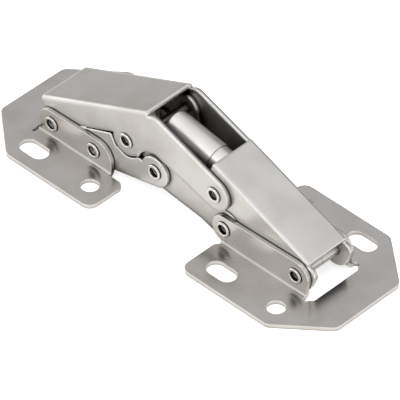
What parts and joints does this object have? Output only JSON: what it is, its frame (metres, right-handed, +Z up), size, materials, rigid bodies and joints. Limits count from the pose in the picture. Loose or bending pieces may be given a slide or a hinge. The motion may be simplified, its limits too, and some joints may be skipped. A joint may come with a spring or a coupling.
{
  "type": "piston hinge",
  "caption": "Surface-mounted folding hinge: two flat base plates joined by a riveted multi-link bridge with folded covers and a spring piston; folds a right angle.",
  "frame": {"origin": "under the middle of the opened hinge, on the face that the two plates are screwed to", "axes": "+X along the opened hinge from the long cover's plate to the short cover's plate, +Y across it towards the back, +Z up, away from the mounting face"},
  "size_m": [0.173, 0.066, 0.0403],
  "materials": {
    "satin_nickel": "satin nickel plating on pressed sheet steel",
    "rivet_steel": "nickel plating on rolled rivet heads, darker in the recess",
    "polished_steel": "bright drawn and polished tube",
    "dark_ring": "dark sliding ring",
    "spring_steel": "oiled spring wire"
  },
  "bodies": {
    "left_base": {"base_plate_left": "satin_nickel", "base_pin_left": "rivet_steel", "stop_base_rivet_front": "rivet_steel", "stop_base_rivet_back": "rivet_steel"},
    "long_cover_body": {"long_cover": "satin_nickel", "cover_link_rivet_front": "rivet_steel", "cover_link_rivet_back": "rivet_steel", "cover_rivet_front": "rivet_steel", "cover_rivet_back": "rivet_steel"},
    "stop_links": {"stop_link_front": "satin_nickel", "stop_link_back": "satin_nickel", "stop_link_rivet_front": "rivet_steel", "stop_link_rivet_back": "rivet_steel"},
    "long_links": {"long_link_front": "satin_nickel", "long_link_back": "satin_nickel", "piston_top_pin": "rivet_steel", "stop_link_bush_front": "rivet_steel", "stop_link_bush_back": "rivet_steel", "link_base_bush_front": "rivet_steel", "link_base_bush_back": "rivet_steel"},
    "short_cover_body": {"short_cover": "satin_nickel", "piston_seat": "satin_nickel", "piston_foot_pin": "rivet_steel"},
    "right_base": {"base_plate_right": "satin_nickel", "base_pin_right": "rivet_steel", "link_base_rivet_front": "rivet_steel", "link_base_rivet_back": "rivet_steel"},
    "plunger_body": {"piston_plunger": "polished_steel", "piston_ring": "dark_ring", "piston_spring": "spring_steel"},
    "sleeve_body": {"piston_sleeve": "polished_steel"}
  },
  "joints": [
    {"name": "fold", "type": "hinge", "parent": "left_base", "child": "long_cover_body", "pos_m": [-0.0621, 0, 0.0073], "axis": [0, -1, 0], "range_deg": [0, 69.32]},
    {"name": "stop_link_pivot", "type": "hinge", "parent": "left_base", "child": "stop_links", "pos_m": [-0.0401, 0, 0.0076], "axis": [0, -1, 0], "range_deg": [0, 93.75]},
    {"name": "long_link_pivot", "type": "hinge", "parent": "long_cover_body", "child": "long_links", "pos_m": [-0.0248, 0, 0.0205], "axis": [0, -1, 0], "range_deg": [-83.23, 0]},
    {"name": "cover_pivot", "type": "hinge", "parent": "long_cover_body", "child": "short_cover_body", "pos_m": [0.0201, 0, 0.0216], "axis": [0, -1, 0], "range_deg": [-95.89, 0]},
    {"name": "right_base_pivot", "type": "hinge", "parent": "short_cover_body", "child": "right_base", "pos_m": [0.0612, 0, 0.0081], "axis": [0, -1, 0], "range_deg": [0, 116.57]},
    {"name": "piston_foot_pivot", "type": "hinge", "parent": "short_cover_body", "child": "plunger_body", "pos_m": [0.034, 0, 0.022], "axis": [0, -1, 0], "range_deg": [0, 99.34]},
    {"name": "piston_slide", "type": "slide", "parent": "plunger_body", "child": "sleeve_body", "axis": [-0.9866, 0, 0.1634], "range_m": [-0.01607, 0], "stiffness_N_per_m": 400, "springref_m": 0.004, "deforming": ["piston_spring"]}
  ],
  "couplings": [
    {"joint": "stop_link_pivot", "follows": "fold", "ratio": 1.3524},
    {"joint": "long_link_pivot", "follows": "fold", "ratio": -1.2007},
    {"joint": "cover_pivot", "follows": "fold", "ratio": -1.3833},
    {"joint": "right_base_pivot", "follows": "fold", "ratio": 1.6817},
    {"joint": "piston_foot_pivot", "follows": "fold", "ratio": 1.4331},
    {"joint": "piston_slide", "follows": "fold", "m_per_rad": -0.01328}
  ]
}
